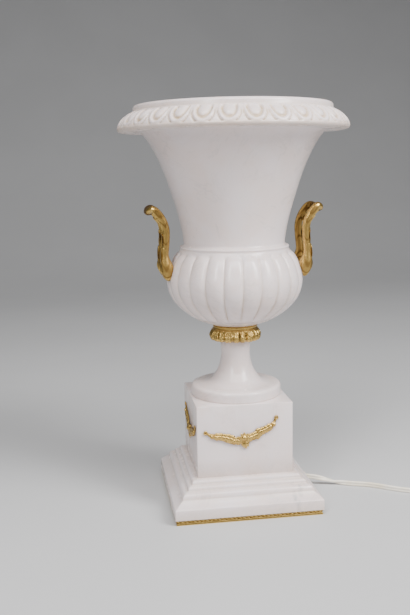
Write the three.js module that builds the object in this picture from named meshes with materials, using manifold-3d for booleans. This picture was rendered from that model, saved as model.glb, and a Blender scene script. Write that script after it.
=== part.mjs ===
// Alabaster medici vase on its stepped plinth, fitted as a table lamp.
// Millimetres, +Z up. The origin is on the surface that the lamp stands on, under the vase's axis.
// -Y is the front of the plinth, and the two handles stand on the +X and -X sides.
import * as THREE from 'three';
import { mergeVertices } from 'three/addons/utils/BufferGeometryUtils.js';
import Module from 'manifold-3d';

const wasm = await Module();
wasm.setup();

// Heights of the joints between the pieces, from the surface up
const BAND_TOP = 5.5;
const SLAB_TOP = 37.8;
const DIE_TOP = 111.3;
const VASE_FOOT = 186;
const BELT = 267.5;
const RIM_UNDERSIDE = 380;
const TOTAL_HEIGHT = 405.8;

// Half widths of the square pieces
const SLAB_HALF = 75;
const DIE_HALF = 48.9;
const BAND_SETBACK = 1.3;
const BAND_THICKNESS = 3.2;
const FASCIA_TOP = 16.3;
const DIE_ARRIS = 0.7;

// Radii of the turned pieces
const DISC_RADIUS = 46.8;
const STEM_RADIUS = 14.8;
const NECK_RADIUS = 16;
const COLLAR_RADIUS = 27.3;
const BOWL_RADIUS = 70.3;
const FLARE_RADIUS = 51;
const RIM_RADIUS = 115.3;
const MOUTH_RADIUS = 85;
const WALL = 9;

const PLAIN_SEGMENTS = 36;

// Carving
const GADROONS = 23;
const GADROON_DEPTH = 3;
const GADROON_SEGMENTS = 4;
const EGGS = 30;
const EGG_DEPTH = 2.6;
const EGG_SEGMENTS = 4;
const PETALS = 18;
const PETAL_SEGMENTS = 3;

// Gilt mounts
const ARM_SPREAD = 15;
const ARM_WIDTH = 7.6;
const ARM_DEPTH = 7.8;
const SWAG_CHORD = 73;
const SWAG_SAG = 15;
const SWAG_WIDTH = 6;
const SWAG_RELIEF = 3.6;
const SWAG_HEIGHT = 90.6;

// The flat twin cord, its coil and its plug
const CORD_WIDTH = 5.4;
const CORD_THICKNESS = 2.7;
const CORD_EXIT = new THREE.Vector3(SLAB_HALF, 5, 9.5);
const COIL_CENTRE = new THREE.Vector3(237.6, -29.6, 0);
const COIL_MEAN_RADIUS = 30;
const COIL_COLUMNS = 3;
const COIL_LAYERS = 3;
const LAYER_RISE = 2.9;
const PLUG_LENGTH = 34;
const PLUG_WIDTH = 13.6;
const PLUG_HEIGHT = 11;
const PIN_LENGTH = 19;
const PIN_RADIUS = 2;
const PIN_SPACING = 18.6;

// What touching pieces keep between them where they aren't stacked face on face
const GAP = 0.3;

const ALABASTER = { color: 0xe6dedb, roughness: 0.32, metalness: 0 };
const GILT = { color: 0xc79a45, roughness: 0.34, metalness: 1 };
const PVC = { color: 0xece5d6, roughness: 0.45, metalness: 0 };
const BRASS = { color: 0xb9a26a, roughness: 0.3, metalness: 1 };

const degrees = THREE.MathUtils.degToRad;

// A turned body about the vase's axis, from [radius, height] pairs
function turned(profile, segments) {
  const points = profile.map(([radius, height]) => new THREE.Vector2(radius, height));
  return new THREE.LatheGeometry(points, segments).rotateX(Math.PI / 2);
}

// A moulding carried round a square plan with mitred corners, from [half width, height] pairs
function mitred(profile) {
  const corner = Math.SQRT2;
  const points = profile.map(([half, height]) => new THREE.Vector2(half * corner, height));
  return new THREE.LatheGeometry(points, 4, Math.PI / 4).rotateX(Math.PI / 2);
}

// Moves each point of a turned body in or out and up or down, by its own angle from the front
function carved(geometry, carve) {
  const position = geometry.getAttribute('position');
  for (let i = 0; i < position.count; i++) {
    const [x, y, z] = [position.getX(i), position.getY(i), position.getZ(i)];
    const radius = Math.hypot(x, y);
    if (radius < 1e-6) continue;
    const [inward, drop] = carve(Math.atan2(x, -y), radius, z);
    const scale = (radius - inward) / radius;
    position.setXYZ(i, x * scale, y * scale, z - drop);
  }
  return geometry;
}

// A round bar bent along a path: place(t, across, out) puts a point of its section in space
function bent(steps, sides, place) {
  const bar = new THREE.CylinderGeometry(1, 1, 1, sides, steps);
  const position = bar.getAttribute('position');
  const point = new THREE.Vector3();
  for (let i = 0; i < position.count; i++) {
    point.fromBufferAttribute(position, i);
    const placed = place(point.y + 0.5, point.x, point.z);
    position.setXYZ(i, placed.x, placed.y, placed.z);
  }
  return bar;
}

function solidOf(geometry) {
  const bare = geometry.clone();
  bare.deleteAttribute('normal');
  bare.deleteAttribute('uv');
  const merged = mergeVertices(bare, 1e-4);
  const corners = [];
  for (let i = 0; i < merged.index.count; i += 3) {
    const triangle = [0, 1, 2].map((k) => merged.index.getX(i + k));
    if (new Set(triangle).size === 3) corners.push(...triangle);
  }
  return new wasm.Manifold(new wasm.Mesh({
    numProp: 3,
    vertProperties: new Float32Array(merged.getAttribute('position').array),
    triVerts: new Uint32Array(corners),
  }));
}

function geometryOf(solid) {
  const mesh = solid.getMesh();
  const geometry = new THREE.BufferGeometry();
  geometry.setAttribute('position', new THREE.BufferAttribute(mesh.vertProperties, 3));
  geometry.setIndex(new THREE.BufferAttribute(mesh.triVerts, 1));
  geometry.computeVertexNormals();
  return geometry;
}

function joined(geometries) {
  const [first, ...rest] = geometries.map(solidOf);
  return rest.reduce((whole, part) => whole.add(part), first);
}

function piece(name, geometry, finish) {
  const mesh = new THREE.Mesh(geometry, new THREE.MeshStandardMaterial(finish));
  mesh.name = name;
  return mesh;
}

// A quarter round from one [radius, height] to the next, rising first and then running in
function rounded([fromR, fromZ], [toR, toZ], steps) {
  return Array.from({ length: steps + 1 }, (_, i) => {
    const angle = (i / steps) * Math.PI / 2;
    return [toR + (fromR - toR) * Math.cos(angle), fromZ + (toZ - fromZ) * Math.sin(angle)];
  });
}

// Plinth

const SLAB_STEPS = [[66.6, 22.9], [60.6, 29.2], [55.8, 33.6]];

function baseSlab() {
  const foot = SLAB_HALF - BAND_SETBACK - BAND_THICKNESS - GAP;
  const treads = [SLAB_STEPS[1], SLAB_STEPS[2], [51, SLAB_TOP]];
  const steps = SLAB_STEPS.flatMap((step, i) => [
    step,
    ...rounded([step[0] - 0.4, step[1] + 1.6], treads[i], 3),
  ]);
  return piece('base_slab', mitred([
    [0, 0], [foot, 0], [foot, BAND_TOP],
    [SLAB_HALF, BAND_TOP], [SLAB_HALF, FASCIA_TOP - 0.8], [SLAB_HALF - 0.6, FASCIA_TOP],
    ...steps, [0, SLAB_TOP],
  ]), ALABASTER);
}

function ropeBand() {
  const outer = SLAB_HALF - BAND_SETBACK;
  const inner = outer - BAND_THICKNESS;
  return piece('rope_band', mitred([
    [inner, 0], [outer, 0], [outer, 2],
    [outer - 0.9, 2.3], [outer + 0.3, 3.1], [outer + 0.3, 4.6], [outer - 0.8, BAND_TOP - GAP],
    [inner, BAND_TOP - GAP], [inner, 0],
  ]), GILT);
}

function dieBlock() {
  return piece('die_block', mitred([
    [0, SLAB_TOP], [DIE_HALF, SLAB_TOP], [DIE_HALF, DIE_TOP - DIE_ARRIS],
    [DIE_HALF - DIE_ARRIS, DIE_TOP], [0, DIE_TOP],
  ]), ALABASTER);
}

// Foot: a round disc whose top runs up in a cavetto to the slender stem

function foot() {
  const disc = [[DISC_RADIUS, DIE_TOP], [DISC_RADIUS - 0.2, 119]];
  const shoulder = rounded([DISC_RADIUS - 0.2, 119], [DISC_RADIUS - 3.6, 122.4], 2).slice(1);
  const stem = [
    [34, 123.4], [27, 125.6], [22.6, 130.4], [19, 136.8], [16.4, 144.2],
    [STEM_RADIUS, 156], [NECK_RADIUS, 168], [NECK_RADIUS, VASE_FOOT],
  ];
  return piece('foot', turned([
    [0, DIE_TOP], ...disc, ...shoulder, ...stem, [0, VASE_FOOT],
  ], PLAIN_SEGMENTS), ALABASTER);
}

// Collar: a gilt ring of petals that hang over the top of the stem

function collar() {
  const inner = NECK_RADIUS + GAP;
  const outline = [
    [inner, 167.6], [COLLAR_RADIUS - 6, 168], [COLLAR_RADIUS - 1.6, 170.4], [COLLAR_RADIUS, 173.8],
    [COLLAR_RADIUS - 0.8, 177.4], [COLLAR_RADIUS - 4, 181.8], [COLLAR_RADIUS - 6.6, 184.2],
    [COLLAR_RADIUS - 6.8, VASE_FOOT - GAP], [inner, VASE_FOOT - GAP], [inner, 167.6],
  ];
  const pitch = 2 * Math.PI / PETALS;
  const petals = carved(turned(outline, PETALS * PETAL_SEGMENTS), (angle, radius, z) => {
    const proud = (radius - NECK_RADIUS - 3) / (COLLAR_RADIUS - NECK_RADIUS - 3);
    const out = Math.max(0, proud) * (1 - THREE.MathUtils.smoothstep(z, 173, 178));
    const groove = 0.5 - 0.5 * Math.cos((angle / pitch) * 2 * Math.PI);
    return [1.5 * out * groove, z < 172 ? -1.2 * out * groove : 0];
  });
  return piece('collar', petals, GILT);
}

// Vase: gadrooned bowl, plain flared body and an egg-and-dart rim, hollowed right through

// A round-backed gadroon: 0 on its crest, 1 in the groove beside it
function gadroonGroove(angle) {
  const turn = (angle / (2 * Math.PI)) * GADROONS + GROOVE_TURN;
  const side = 2 * (turn - Math.floor(turn)) - 1;
  return 1 - Math.sqrt(1 - side * side * 0.98);
}

// A groove stands 3.5 degrees to the left of the front
const GROOVE_TURN = (3.5 / 360) * GADROONS;

const BOWL_PROFILE = [
  [26.5, VASE_FOOT], [37, 190], [48.7, 196.6], [59.5, 206.3], [67, 218], [BOWL_RADIUS, 231],
  [69, 243.5], [65.2, 253.5], [57.2, 261.4],
];

function bowlBody() {
  const outline = [
    [0, VASE_FOOT], ...BOWL_PROFILE,
    [55.7, 263.8], [54.4, BELT], [0, BELT],
  ];
  return carved(turned(outline, GADROONS * GADROON_SEGMENTS), (angle, radius, z) => {
    const fadeUp = THREE.MathUtils.smoothstep(262 - z, 0, 7);
    const fadeDown = THREE.MathUtils.smoothstep(radius, 24, 46);
    return [GADROON_DEPTH * fadeUp * fadeDown * gadroonGroove(angle), 0];
  });
}

const FLARE_PROFILE = [
  [FLARE_RADIUS, BELT + 2], [52.7, 280], [57, 299], [62.6, 318], [69.1, 338], [76.2, 355],
  [84.3, 370], [91.5, RIM_UNDERSIDE - 1],
];
const OVOLO_TOP = 399.4;
const OVOLO_PROFILE = [
  [RIM_RADIUS - 1.2, RIM_UNDERSIDE], [RIM_RADIUS, 383.6], [113.2, 389.2], [108.6, 394.8],
  [100.4, OVOLO_TOP],
];

// Sinks the groove round each egg and leaves the egg and the dart between two eggs standing
function eggRelief(angle, z) {
  const turn = (angle / (2 * Math.PI)) * EGGS;
  const fromEgg = Math.abs(turn - Math.round(turn)) * 2;
  const low = THREE.MathUtils.smoothstep(z, 384, 388);
  const high = 1 - THREE.MathUtils.smoothstep(z, 397, 399.4);
  const groove = Math.max(0, 1 - Math.abs(fromEgg - 0.5) / 0.4);
  const dart = THREE.MathUtils.smoothstep(fromEgg, 0.8, 1) * 0.35;
  return EGG_DEPTH * low * high * Math.max(groove, dart);
}

function flaredBody() {
  const outline = [
    [0, BELT - 3], [FLARE_RADIUS, BELT - 3], ...FLARE_PROFILE, [93, RIM_UNDERSIDE + 2],
    [99, OVOLO_TOP - 3], [99, 403], ...rounded([98.8, 403.6], [95.6, TOTAL_HEIGHT], 2),
    [0, TOTAL_HEIGHT],
  ];
  return turned(outline, PLAIN_SEGMENTS);
}

function rimMoulding() {
  const outline = [[MOUTH_RADIUS + 3, RIM_UNDERSIDE], ...OVOLO_PROFILE];
  outline.push([MOUTH_RADIUS + 3, OVOLO_TOP], [MOUTH_RADIUS + 3, RIM_UNDERSIDE]);
  return carved(turned(outline, EGGS * EGG_SEGMENTS), (angle, radius, z) => (
    [radius > MOUTH_RADIUS + 4 ? eggRelief(angle, z) : 0, 0]
  ));
}

function hollow() {
  const inside = FLARE_PROFILE.filter((_, i) => i % 2 === 0);
  const follow = inside.map(([radius, z]) => [radius - WALL, z]);
  return turned([
    [0, 200], [24, 202], [43, 212], [56, 225], [58.6, 238], [54, 252], [44, 262],
    ...follow, [MOUTH_RADIUS, 396], [MOUTH_RADIUS + 2, TOTAL_HEIGHT + 1], [0, TOTAL_HEIGHT + 1],
  ], PLAIN_SEGMENTS);
}

function vase() {
  const body = joined([bowlBody(), flaredBody(), rimMoulding()]).subtract(solidOf(hollow()));
  return piece('vase', geometryOf(body), ALABASTER);
}

// Handles: a loop of two arms, each with a pointed foot laid on the bowl, that curls out at the top

const HANDLE_LINE = new THREE.CatmullRomCurve3([
  [69.6, 233.8], [71.4, 239.6], [72.4, 246], [73, 253], [72.8, 262], [71.4, 276], [71.5, 286], [74.4, 294.6], [79.2, 301.6],
  [84, 305], [87.8, 304.2],
].map(([x, z]) => new THREE.Vector3(x, 0, z)), false, 'centripetal');

// Bends the flat loop: along is 0 at the feet and 1 at the curl, side runs round the bowl
function onHandle(along, side, out) {
  const at = HANDLE_LINE.getPointAt(THREE.MathUtils.clamp(along, 0, 1));
  const way = HANDLE_LINE.getTangentAt(THREE.MathUtils.clamp(along, 0, 1));
  return new THREE.Vector3(at.x + way.z * out, side, at.z - way.x * out);
}

// The loop's centre line, up one arm, over the top and down the other
function loopAt(t) {
  const height = HANDLE_LINE.getLength();
  const arm = height - ARM_SPREAD;
  const whole = 2 * arm + Math.PI * ARM_SPREAD;
  const run = t * whole;
  if (run < arm) return armPoint(run / height, 1);
  if (run > whole - arm) return armPoint((whole - run) / height, -1);
  const turn = (run - arm) / ARM_SPREAD;
  return {
    along: (arm + ARM_SPREAD * Math.sin(turn) * 0.9) / height,
    side: ARM_SPREAD * Math.cos(turn),
    normal: [Math.sin(turn), Math.cos(turn)],
  };
}

function armPoint(along, hand) {
  return { along, side: hand * ARM_SPREAD, normal: [0, hand] };
}

// Leaves overlap up each arm, and the arm grows deeper towards its curl
function leafSwell(t) {
  const up = Math.min(t, 1 - t) * 2;
  const leaf = up * 3;
  return 0.9 + 0.2 * (leaf - Math.floor(leaf)) + 0.25 * up * up;
}

// Each arm swells into its foot and is drawn to a point at the foot's end
const FOOT_TAPER = 10;
const FOOT_SWELL = [12, 28];

function handleLoop() {
  const height = HANDLE_LINE.getLength();
  return bent(34, 6, (t, across, out) => {
    const { along, side, normal } = loopAt(t);
    const run = along * height;
    const foot = 1 - THREE.MathUtils.smoothstep(run, ...FOOT_SWELL);
    const point = Math.sqrt(Math.min(1, (run + 0.2) / FOOT_TAPER));
    const reach = across * ARM_WIDTH / 2 * (1 + 0.45 * foot) * point;
    const swell = out > 0.1 ? leafSwell(t) * (1 + 0.4 * foot) * point : 1 + 1.2 * foot;
    const depth = out * ARM_DEPTH / 2 * swell;
    return onHandle(along + normal[0] * reach / height, side + normal[1] * reach, depth);
  });
}

// The smooth round that the gadroons' crests touch, which the feet are fitted to
function bowlEnvelope() {
  const proud = BOWL_PROFILE.map(([radius, z]) => [radius + GAP, z]);
  return turned([[0, VASE_FOOT], ...proud, [FLARE_RADIUS + 4, BELT], [0, BELT]], 92);
}

function handle(name, turn) {
  const body = solidOf(handleLoop()).subtract(solidOf(bowlEnvelope()));
  const mesh = piece(name, geometryOf(body), GILT);
  mesh.geometry.rotateZ(turn);
  return mesh;
}

// Swags: a garland of leaves knotted in the middle, one on each face of the die

const SWAG_LINE = new THREE.CatmullRomCurve3([
  [-SWAG_CHORD / 2, 0], [-32, -4.6], [-25, -7.6], [-17.5, -11], [-10, -14], [0, -SWAG_SAG],
  [10, -14], [17.5, -11], [25, -7.6], [32, -4.6], [SWAG_CHORD / 2, 0],
].map(([x, z]) => new THREE.Vector3(x, 0, z)), false, 'centripetal');

function swagBar() {
  return bent(18, 5, (t, across, out) => {
    const at = SWAG_LINE.getPointAt(t);
    const way = SWAG_LINE.getTangentAt(t);
    const cluster = 0.72 + 0.34 * Math.abs(Math.sin(t * 7.5 * Math.PI));
    const taper = THREE.MathUtils.smoothstep(Math.min(t, 1 - t), 0, 0.1) * 0.35 + 0.65;
    const reach = across * SWAG_WIDTH / 2 * cluster * taper;
    const relief = Math.max(0, out) * SWAG_RELIEF * cluster;
    return new THREE.Vector3(at.x + way.z * reach, -relief, at.z - way.x * reach);
  });
}

function swagStud(x, z, radius, relief, sides) {
  const stud = new THREE.CylinderGeometry(radius, radius * 0.62, relief, sides);
  return stud.translate(x, -relief / 2, z);
}

function swagPendant() {
  const leaf = new THREE.CylinderGeometry(4.4, 2.2, SWAG_RELIEF * 0.9, 6);
  return leaf.scale(0.9, 1, 1.25).translate(1.4, -SWAG_RELIEF * 0.45, -20);
}

function swag(name, turn, shift, tilt) {
  const body = joined([
    swagBar(), swagPendant(), swagStud(0.8, 1.6 - SWAG_SAG, 5.2, 5.2, 8),
    swagStud(-SWAG_CHORD / 2, 0, 2.6, 2.4, 6), swagStud(SWAG_CHORD / 2, 0, 2.6, 2.4, 6),
  ]);
  const geometry = geometryOf(body);
  geometry.rotateY(-tilt).translate(shift, -DIE_HALF - GAP, SWAG_HEIGHT).rotateZ(turn);
  return piece(name, geometry, GILT);
}

// Cord: it leaves the right side of the slab, lies along the table and ends in a coil and a plug

const CORD_ROUTE = [
  [80, 5, 9.4], [85.5, 3.8, 8.9], [92.9, 1.9, 7.5], [101.7, 0.6, 5], [110, -1.8, 3.3],
  [117.6, -4.7, 2.8], [124.8, -8, 2.75], [132.9, -11, 2.75], [140, -13.6, 2.75],
  [147.5, -17.7, 2.75], [154.6, -22.6, 2.75], [161, -27.4, 2.75], [167.7, -32, 2.75],
  [175.1, -36.3, 2.75], [183.5, -40.8, 2.75], [193.5, -46.1, 2.75], [203, -51.2, 2.75],
];

function cordBush() {
  const { x, y, z } = CORD_EXIT;
  const bush = turned([
    [0, GAP], [5.2, GAP], [5.2, 1.3], [4, 2.1], [0, 2.1],
  ], 10);
  return piece('cord_bush', bush.rotateY(Math.PI / 2).translate(x, y, z), PVC);
}

function ovalSection(width, height, sides) {
  const outline = new THREE.Shape();
  for (let i = 0; i < sides; i++) {
    const angle = (i / sides) * 2 * Math.PI;
    const [x, y] = [width / 2 * Math.cos(angle), height / 2 * Math.sin(angle)];
    if (i === 0) outline.moveTo(x, y);
    else outline.lineTo(x, y);
  }
  outline.closePath();
  return outline;
}

function cordTube(name, points, steps) {
  const path = new THREE.CatmullRomCurve3(points, false, 'centripetal');
  const section = ovalSection(CORD_WIDTH, CORD_WIDTH, 8);
  return piece(name, new THREE.ExtrudeGeometry(section, {
    steps, bevelEnabled: false, extrudePath: path,
  }), PVC);
}

function cordRun() {
  const start = CORD_EXIT.clone().setX(CORD_EXIT.x + 2.1 + GAP);
  const route = CORD_ROUTE.map(([x, y, z]) => new THREE.Vector3(x, y, z));
  return cordTube('cord_run', [start, ...route], 26);
}

function coilSection() {
  const half = COIL_COLUMNS * CORD_WIDTH / 2;
  return { inner: COIL_MEAN_RADIUS - half, outer: COIL_MEAN_RADIUS + half, top: COIL_LAYERS * LAYER_RISE };
}

function cordCoil() {
  const { inner, outer, top } = coilSection();
  const edge = 1.2;
  const ring = turned([
    [inner, 0], [outer, 0], [outer, top - edge], [outer - edge, top],
    [inner + edge, top], [inner, top - edge], [inner, 0],
  ], 36);
  return piece('cord_coil', ring.translate(COIL_CENTRE.x, COIL_CENTRE.y, 0), PVC);
}

// The cord's end rises off the coil's inner turn and bends round into the plug
const TAIL_BEND = 22;
const TAIL_START = degrees(172);
const TAIL_CENTRE = COIL_CENTRE.clone().add(new THREE.Vector3(-2.6, 0, 0));

function cordTail() {
  const { top } = coilSection();
  const low = top + GAP + CORD_WIDTH / 2;
  const high = top + GAP + PLUG_HEIGHT / 2;
  const points = Array.from({ length: 7 }, (_, i) => {
    const angle = TAIL_START + (degrees(266) - TAIL_START) * i / 6;
    const rise = THREE.MathUtils.smoothstep(i, 0, 6);
    return new THREE.Vector3(
      TAIL_CENTRE.x + TAIL_BEND * Math.cos(angle),
      TAIL_CENTRE.y + TAIL_BEND * Math.sin(angle),
      low + (high - low) * rise,
    );
  });
  return cordTube('cord_tail', points, 8);
}

// The plug lies on the coil with its pins to the right
const PLUG_PLACE = new THREE.Vector3(
  TAIL_CENTRE.x + PLUG_LENGTH / 2 + 0.8, TAIL_CENTRE.y - TAIL_BEND, 0,
);

function plugBody() {
  const { top } = coilSection();
  const half = PLUG_WIDTH / 2;
  const neck = 3.6;
  const outline = new THREE.Shape();
  outline.moveTo(-PLUG_LENGTH / 2, -neck);
  outline.lineTo(-PLUG_LENGTH / 2 + 12, -half);
  outline.lineTo(PLUG_LENGTH / 2, -PIN_SPACING / 2 - 3.6);
  outline.lineTo(PLUG_LENGTH / 2, PIN_SPACING / 2 + 3.6);
  outline.lineTo(-PLUG_LENGTH / 2 + 12, half);
  outline.lineTo(-PLUG_LENGTH / 2, neck);
  outline.closePath();
  const body = new THREE.ExtrudeGeometry(outline, {
    depth: PLUG_HEIGHT - 2, bevelEnabled: true, bevelThickness: 1, bevelSize: 0.8, bevelSegments: 1,
  });
  body.translate(PLUG_PLACE.x, PLUG_PLACE.y, top + GAP + 1);
  return piece('plug_body', body, PVC);
}

function plugPin(name, side) {
  const { top } = coilSection();
  const pin = new THREE.CylinderGeometry(PIN_RADIUS, PIN_RADIUS, PIN_LENGTH, 12);
  pin.rotateZ(Math.PI / 2);
  const x = PLUG_PLACE.x + PLUG_LENGTH / 2 + 0.8 + GAP + PIN_LENGTH / 2;
  pin.translate(x, PLUG_PLACE.y + side * PIN_SPACING / 2, top + GAP + PLUG_HEIGHT / 2);
  return piece(name, pin, BRASS);
}

const QUARTER = Math.PI / 2;

const lamp = new THREE.Group();
lamp.add(
  ropeBand(),
  baseSlab(),
  dieBlock(),
  foot(),
  collar(),
  vase(),
  handle('handle_right', 0),
  handle('handle_left', Math.PI),
  swag('swag_front', 0, -4.4, degrees(9.4)),
  swag('swag_left', -QUARTER, 6, degrees(-3)),
  swag('swag_back', Math.PI, 0, 0),
  swag('swag_right', QUARTER, 0, 0),
  cordBush(),
  cordRun(),
  cordCoil(),
  cordTail(),
  plugBody(),
  plugPin('plug_pin_near', -1),
  plugPin('plug_pin_far', 1),
);

export default lamp;
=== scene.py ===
import math

import bmesh
import bpy
import numpy as np
from bpy.props import FloatProperty, FloatVectorProperty, IntProperty, PointerProperty
from bpy.types import Operator, Panel, PropertyGroup
from mathutils import Matrix, Vector


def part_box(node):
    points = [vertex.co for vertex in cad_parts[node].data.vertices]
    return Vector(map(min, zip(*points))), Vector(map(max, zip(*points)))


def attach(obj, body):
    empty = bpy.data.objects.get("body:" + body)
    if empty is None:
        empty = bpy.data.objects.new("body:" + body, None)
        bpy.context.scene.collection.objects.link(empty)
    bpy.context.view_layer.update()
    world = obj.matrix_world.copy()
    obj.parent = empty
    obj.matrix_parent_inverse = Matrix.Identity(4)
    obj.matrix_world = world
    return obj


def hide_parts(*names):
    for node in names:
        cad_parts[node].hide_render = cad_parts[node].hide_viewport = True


bl_info = {
    "name": "Medici Vase",
    "version": (1, 0, 0),
    "blender": (4, 5, 0),
    "location": "View3D > Sidebar > Medici Vase",
    "description": "Carves an alabaster medici vase on its plinth, with gilt mounts and a mains lead",
    "category": "Object",
}

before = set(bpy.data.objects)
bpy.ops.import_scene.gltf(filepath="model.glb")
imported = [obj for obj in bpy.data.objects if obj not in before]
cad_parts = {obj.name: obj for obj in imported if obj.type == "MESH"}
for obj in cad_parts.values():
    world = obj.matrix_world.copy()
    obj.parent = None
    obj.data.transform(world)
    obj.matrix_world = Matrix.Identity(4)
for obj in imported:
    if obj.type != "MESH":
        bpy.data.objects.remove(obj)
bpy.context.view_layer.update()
MM = 0.001
VASE_CORNERS = 660  # round one ring of the vase
DIE_HALF = 48.9  # half the die's width, in millimetres


class VaseSizes(PropertyGroup):
    gadroons: IntProperty(name="Gadroons", description="Lobes round the bowl", default=23, min=8)
    gadroon_depth: FloatProperty(
        name="Gadroon Depth", description="How deep the grooves between the lobes are, in millimetres",
        default=2.9, min=0.5, max=6,
    )
    eggs: IntProperty(name="Eggs", description="Eggs round the rim", default=30, min=8)
    egg_depth: FloatProperty(
        name="Egg Depth", description="How far the groove round each egg is sunk, in millimetres",
        default=2.4, min=0.5, max=5,
    )


class MountSizes(PropertyGroup):
    petals: IntProperty(name="Petals", description="Petals round the collar", default=20, min=6)
    strands: IntProperty(name="Strands", description="Turns of rope along one side of the band", default=36)
    leaves: IntProperty(name="Swag Leaves", description="Pairs of leaves on one half of a swag", default=9)


class LeadSizes(PropertyGroup):
    width: FloatProperty(
        name="Width", description="Across both cores of the lead", default=0.0054, unit="LENGTH", subtype="DISTANCE",
    )
    thickness: FloatProperty(
        name="Thickness", description="Through one core", default=0.0027, unit="LENGTH", subtype="DISTANCE",
    )
    length: FloatProperty(
        name="Length", description="From the plinth to the plug", default=1.85, unit="LENGTH", subtype="DISTANCE",
    )


class Finishes(PropertyGroup):
    alabaster: FloatVectorProperty(
        name="Alabaster", description="Clean stone", subtype="COLOR", default=(0.81, 0.722, 0.72), min=0, max=1,
    )
    # This colour is soiling in the carving and also the painted shade of the stone's grooves, creases and undersides
    grime_and_shade: FloatVectorProperty(
        name="Grime", description="Old dirt in the carving", subtype="COLOR", default=(0.50, 0.36, 0.20), min=0, max=1,
    )
    gilding: FloatVectorProperty(
        name="Gilding", description="Bright gilt", subtype="COLOR", default=(0.68, 0.46, 0.14), min=0, max=1,
    )
    # This colour is tarnished gilt in the hollows and also the painted shade of the mounts' hollows and shaded places
    tarnish_and_shade: FloatVectorProperty(
        name="Tarnish", description="Gilt in the hollows", subtype="COLOR", default=(0.10, 0.045, 0.01), min=0, max=1,
    )
    lead: FloatVectorProperty(
        name="Lead", description="Plastic of the lead", subtype="COLOR", default=(0.88, 0.83, 0.73), min=0, max=1,
    )


# Shapes

def flow(points, rows):
    """A smooth line of rows + 1 points through the given ones, evenly spaced along it"""
    p = np.array(points, float)
    ends = np.vstack([2 * p[0] - p[1], p, 2 * p[-1] - p[-2]])
    t = np.linspace(0, 1, 24, endpoint=False)[:, None]
    spans = []
    for a, b, c, d in zip(ends, ends[1:], ends[2:], ends[3:]):
        spans.append(
            b + 0.5 * t * (c - a + t * (2 * a - 5 * b + 4 * c - d + t * (3 * (b - c) + d - a)))
        )
    line = np.vstack(spans + [p[-1:]])
    run = np.concatenate([[0], np.cumsum(np.linalg.norm(np.diff(line, axis=0), axis=1))])
    at = np.linspace(0, run[-1], rows + 1)
    return np.stack([np.interp(at, run, line[:, k]) for k in range(p.shape[1])], axis=1)


def smooth(x, low, high):
    """0 below low, 1 above high and an even slope between them"""
    t = np.clip((x - low) / (high - low), 0, 1)
    return t * t * (3 - 2 * t)


def bump(x, half):
    """A round ridge: 1 in the middle, 0 at half and beyond"""
    return np.sqrt(np.clip(1 - (x / half) ** 2, 0, 1))


def closed(bm, gap=2e-6):
    """Merges the corners that meet and turns every face outwards"""
    bmesh.ops.remove_doubles(bm, verts=bm.verts, dist=gap)
    bmesh.ops.recalc_face_normals(bm, faces=bm.faces)
    return bm


def spun(profile, steps, loop=False):
    """A turned body about the vase's axis from [radius, height] pairs in millimetres"""
    bm = bmesh.new()
    corners = [bm.verts.new((radius * MM, 0, height * MM)) for radius, height in profile]
    edges = [bm.edges.new(pair) for pair in zip(corners, corners[1:])]
    if loop:
        edges.append(bm.edges.new((corners[-1], corners[0])))
    bmesh.ops.spin(
        bm, geom=corners + edges, cent=(0, 0, 0), axis=(0, 0, 1), dvec=(0, 0, 0), angle=math.tau,
        steps=steps, use_merge=True, use_duplicate=False,
    )
    return closed(bm)


def turned(bm, degrees, axis):
    matrix = Matrix.Rotation(math.radians(degrees), 3, axis)
    bmesh.ops.rotate(bm, verts=bm.verts, cent=(0, 0, 0), matrix=matrix)


def rolled(along, around, place):
    """A closed bar: a sheet rolled up, each corner put at place(t, turn), t running 0 to 1 along it"""
    bm = bmesh.new()
    bmesh.ops.create_grid(bm, x_segments=along, y_segments=around, size=0.5)
    flat = np.array([v.co for v in bm.verts])
    spots = place(flat[:, 0] + 0.5, (flat[:, 1] + 0.5) * math.tau)
    for vert, spot in zip(bm.verts, spots):
        vert.co = spot
    closed(bm)
    rims = [edge for edge in bm.edges if edge.is_boundary]
    if rims:
        bmesh.ops.holes_fill(bm, edges=rims, sides=0)
        bmesh.ops.recalc_face_normals(bm, faces=bm.faces)
    return bm


def gathered(parts):
    """One mesh of several"""
    whole = bmesh.new()
    for part in parts:
        scratch = bpy.data.meshes.new("scratch")
        part.to_mesh(scratch)
        part.free()
        whole.from_mesh(scratch)
        bpy.data.meshes.remove(scratch)
    return whole


def corners_of(mesh):
    spots = np.empty(len(mesh.vertices) * 3)
    mesh.vertices.foreach_get("co", spots)
    return spots.reshape(-1, 3)


def normals_of(mesh):
    ways = np.empty(len(mesh.vertices) * 3, np.float32)
    mesh.vertices.foreach_get("normal", ways)
    return ways.reshape(-1, 3)


def carve(mesh, depth):
    """Sinks each point along its normal by depth(angle, radius, height), all in millimetres"""
    spots = corners_of(mesh)
    radius = np.hypot(spots[:, 0], spots[:, 1]) / MM
    angle = np.arctan2(spots[:, 0], -spots[:, 1])
    sunk = depth(angle, radius, spots[:, 2] / MM) * MM
    mesh.vertices.foreach_set("co", (spots - normals_of(mesh) * sunk[:, None]).ravel())
    mesh.update()


def mark(mesh, values):
    """Keeps how dirty or tarnished each point is, and how much painted shade it gets, for the materials to read"""
    layer = mesh.attributes.new("grime_and_shade", "FLOAT", "POINT")
    layer.data.foreach_set("value", np.clip(values, 0, 1).astype(np.float32))


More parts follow.
